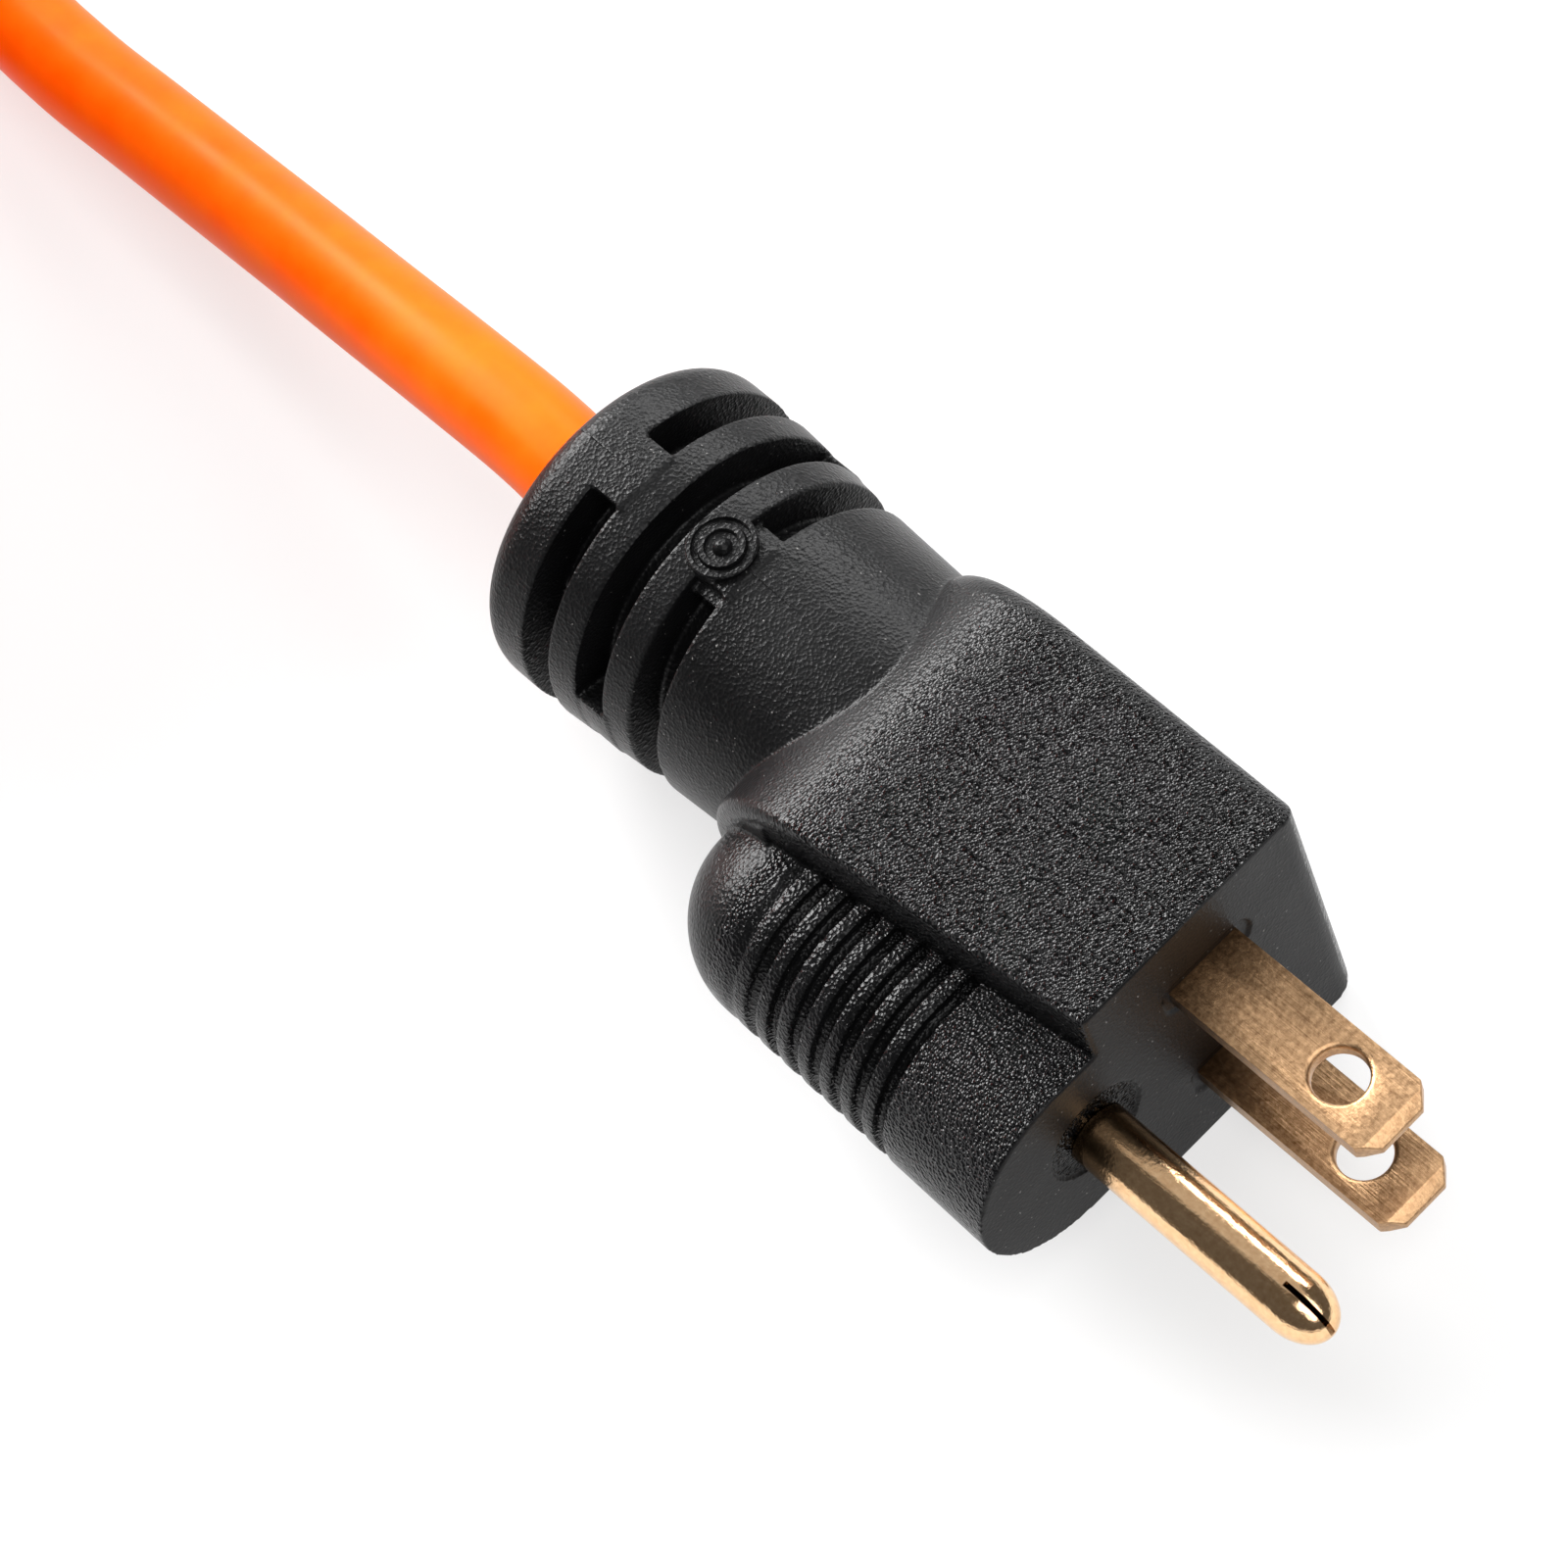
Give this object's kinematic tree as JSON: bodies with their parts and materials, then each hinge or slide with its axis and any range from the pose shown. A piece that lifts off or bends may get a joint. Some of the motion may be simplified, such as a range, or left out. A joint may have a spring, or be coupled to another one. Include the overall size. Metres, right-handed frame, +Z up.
{
  "type": "extension cord",
  "caption": "Outdoor extension cord with a moulded grounding plug, ribbed ground housing, slotted strain relief and round cord, wound into a tied, long oval coil under a moulded connector.",
  "frame": {"origin": "on the floor, under the middle of the plug's bounding box, blades and pin included", "axes": "+X from the plug's neck to its blades, +Z up from the flat side that the plug lies on, +Y from the ground pin towards the blades"},
  "size_m": [0.3402, 0.1045, 0.0897],
  "materials": {
    "plug_moulding": "fine spark-eroded black PVC",
    "bridge": "moulded black nylon",
    "blade_brass": "brushed brass, slightly brown",
    "pin_brass": "polished rolled brass",
    "contact_brass": "stamped brass",
    "black_wire": "black PVC insulation",
    "white_wire": "white PVC insulation",
    "green_wire": "green PVC insulation",
    "copper": "bare stranded copper",
    "cord_jacket": "smooth soft-gloss orange PVC jacket",
    "tie_fabric": "black hook and loop tape",
    "block": "moulded ivory nylon"
  },
  "bodies": {
    "root": {"plug_body": "plug_moulding", "blade_bridge": "bridge", "line_blade": "blade_brass", "neutral_blade": "blade_brass", "ground_pin": "pin_brass", "plug_line_lead": "black_wire", "plug_neutral_lead": "white_wire", "plug_ground_lead": "green_wire", "plug_line_strands": "copper", "plug_neutral_strands": "copper", "plug_ground_strands": "copper", "plug_jacket_end": "cord_jacket", "cord_run": "cord_jacket", "cord_coil": "cord_jacket", "cord_tail": "cord_jacket", "coil_tie": "tie_fabric", "connector_body": "plug_moulding", "contact_block": "block", "line_contact": "contact_brass", "neutral_contact": "contact_brass", "ground_contact": "contact_brass", "connector_line_lead": "black_wire", "connector_neutral_lead": "white_wire", "connector_ground_lead": "green_wire", "connector_line_strands": "copper", "connector_neutral_strands": "copper", "connector_ground_strands": "copper", "connector_jacket_end": "cord_jacket"}
  },
  "joints": []
}
